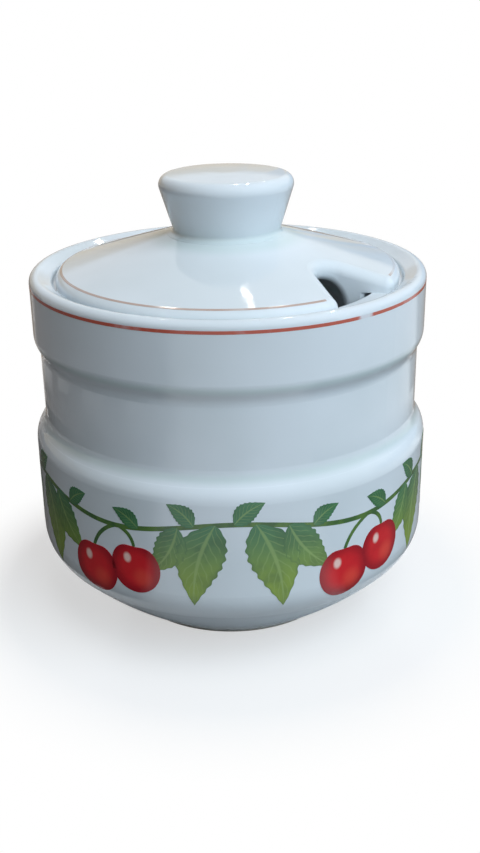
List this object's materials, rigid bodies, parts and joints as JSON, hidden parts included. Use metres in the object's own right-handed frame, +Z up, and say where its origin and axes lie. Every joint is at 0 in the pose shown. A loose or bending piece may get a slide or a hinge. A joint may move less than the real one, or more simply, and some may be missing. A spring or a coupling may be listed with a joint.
{
  "type": "jam pot",
  "caption": "Round stepped porcelain jam pot on a small foot ring, with a low conical lid that has a spoon notch and a flared knob, for serving jam at table.",
  "frame": {"origin": "centre of the foot ring, on the surface that the pot stands on", "axes": "+Z up along the pot's axis; +X from the axis through the middle of the lid's spoon notch"},
  "size_m": [0.0922, 0.0922, 0.1028],
  "materials": {
    "pot_glaze": "clear gloss glaze on white porcelain",
    "lid_glaze": "clear gloss glaze on white porcelain",
    "knob_glaze": "clear gloss glaze on white porcelain"
  },
  "bodies": {
    "pot": {"pot_body": "pot_glaze"},
    "cover": {"lid": "lid_glaze", "lid_knob": "knob_glaze"}
  },
  "joints": [
    {"name": "lid_lift", "type": "slide", "parent": "pot", "child": "cover", "axis": [0, 0, 1], "range_m": [0, 0.06]}
  ]
}
